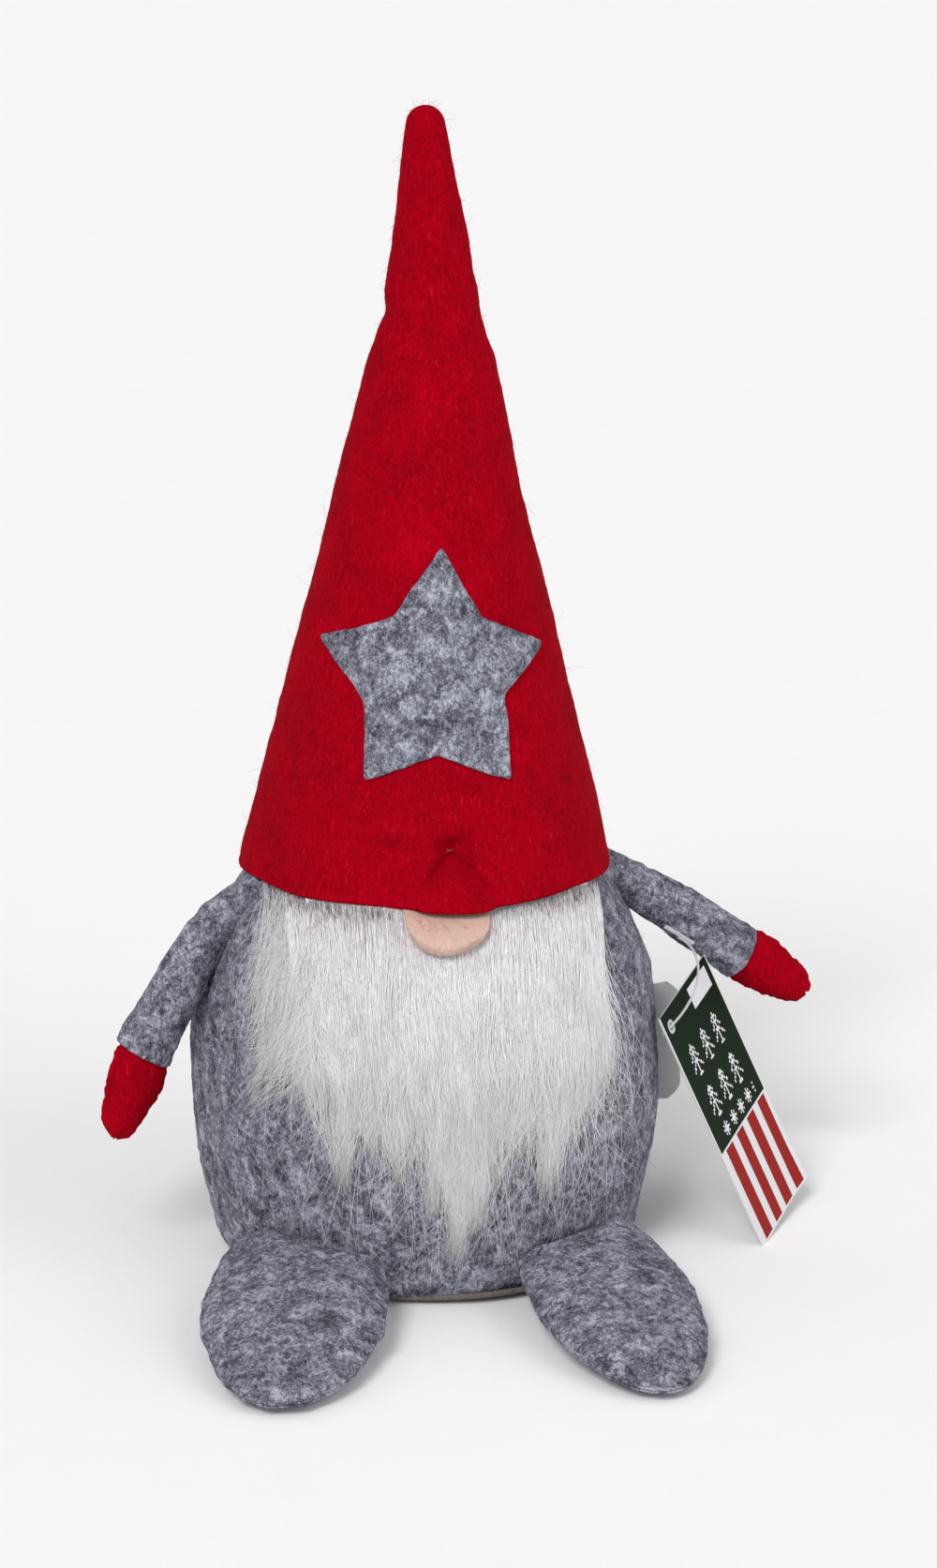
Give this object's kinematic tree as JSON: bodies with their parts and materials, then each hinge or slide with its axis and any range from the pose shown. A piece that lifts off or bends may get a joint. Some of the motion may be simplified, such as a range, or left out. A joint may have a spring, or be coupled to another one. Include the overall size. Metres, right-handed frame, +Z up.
{
  "type": "tomte gnome figurine",
  "caption": "Stuffed felt gnome that sits on a table, with a tall pointed hat, round nose, long fur beard, arms with mittens, flat padded feet and a paper tag",
  "frame": {"origin": "centre of the underside of the round base disc, on the surface the gnome sits on", "axes": "+Z up through the tip of the hat; the face, nose, beard and feet are on -Y; the gnome's left hand and the paper tag are on +X"},
  "size_m": [0.2576, 0.2443, 0.4009],
  "materials": {
    "grey_felt": "soft melange felt",
    "brown_felt": "plain felt",
    "red_felt": "soft felt",
    "peach_felt": "soft felt",
    "fur": "long pile",
    "fur_backing": "knit",
    "fibre_fill": "loose fibre",
    "bag_cloth": "woven",
    "pellets": "matt",
    "satin": "satin",
    "nylon": "clear matt",
    "card": "matt print",
    "thread": "twisted"
  },
  "bodies": {
    "torso": {"body_front_panel": "grey_felt", "body_back_panel": "grey_felt", "base_disc": "brown_felt", "body_stuffing": "fibre_fill", "weight_bag": "bag_cloth", "weight_pellets": "pellets", "hat_cone": "red_felt", "hat_stuffing": "fibre_fill", "star_patch": "grey_felt", "nose_cover": "peach_felt", "nose_stuffing": "fibre_fill", "beard_backing": "fur_backing", "beard_pile": "fur", "care_label": "satin", "hat_tack_stitch": "thread"},
    "left_shoulder": {"shoulder_tab_left": "grey_felt"},
    "left_arm": {"sleeve_left": "grey_felt", "arm_stuffing_left": "fibre_fill", "mitten_left": "red_felt", "mitten_stuffing_left": "fibre_fill", "pin_bar": "nylon"},
    "left_foot": {"foot_upper_left": "grey_felt", "foot_sole_left": "grey_felt", "foot_stuffing_left": "fibre_fill"},
    "right_shoulder": {"shoulder_tab_right": "grey_felt"},
    "right_arm": {"sleeve_right": "grey_felt", "arm_stuffing_right": "fibre_fill", "mitten_right": "red_felt", "mitten_stuffing_right": "fibre_fill"},
    "right_foot": {"foot_upper_right": "grey_felt", "foot_sole_right": "grey_felt", "foot_stuffing_right": "fibre_fill"},
    "pin": {"pin_filament": "nylon"},
    "tag": {"hang_tag": "card"}
  },
  "joints": [
    {"name": "left_arm_swing", "type": "hinge", "parent": "torso", "child": "left_shoulder", "pos_m": [0.07111, 0.01511, 0.121], "axis": [0, 0, 1], "range_deg": [0, 20]},
    {"name": "left_arm_raise", "type": "hinge", "parent": "left_shoulder", "child": "left_arm", "pos_m": [0.07532, 0.01601, 0.121], "axis": [0.2079, -0.9781, 0], "range_deg": [0, 70]},
    {"name": "right_arm_swing", "type": "hinge", "parent": "torso", "child": "right_shoulder", "pos_m": [-0.07111, -0.01511, 0.121], "axis": [0, 0, 1], "range_deg": [-10, 10]},
    {"name": "right_arm_raise", "type": "hinge", "parent": "right_shoulder", "child": "right_arm", "pos_m": [-0.07532, -0.01601, 0.121], "axis": [-0.2079, 0.9781, 0], "range_deg": [0, 95]},
    {"name": "left_foot_flap", "type": "hinge", "parent": "torso", "child": "left_foot", "pos_m": [0.04324, -0.06659, 0.024], "axis": [-0.8387, -0.5446, 0], "range_deg": [0, 40]},
    {"name": "right_foot_flap", "type": "hinge", "parent": "torso", "child": "right_foot", "pos_m": [-0.04324, -0.06659, 0.024], "axis": [-0.8387, 0.5446, 0], "range_deg": [0, 40]},
    {"name": "pin_flex", "type": "hinge", "parent": "left_arm", "child": "pin", "pos_m": [0.0918, 0.01106, 0.1036], "axis": [-0.8061, -0.1713, 0.5664], "range_deg": [0, 40]},
    {"name": "tag_swing", "type": "hinge", "parent": "pin", "child": "tag", "pos_m": [0.08396, -0.02276, 0.08074], "axis": [0.7936, -0.4905, 0.36], "range_deg": [-10, 0]}
  ]
}
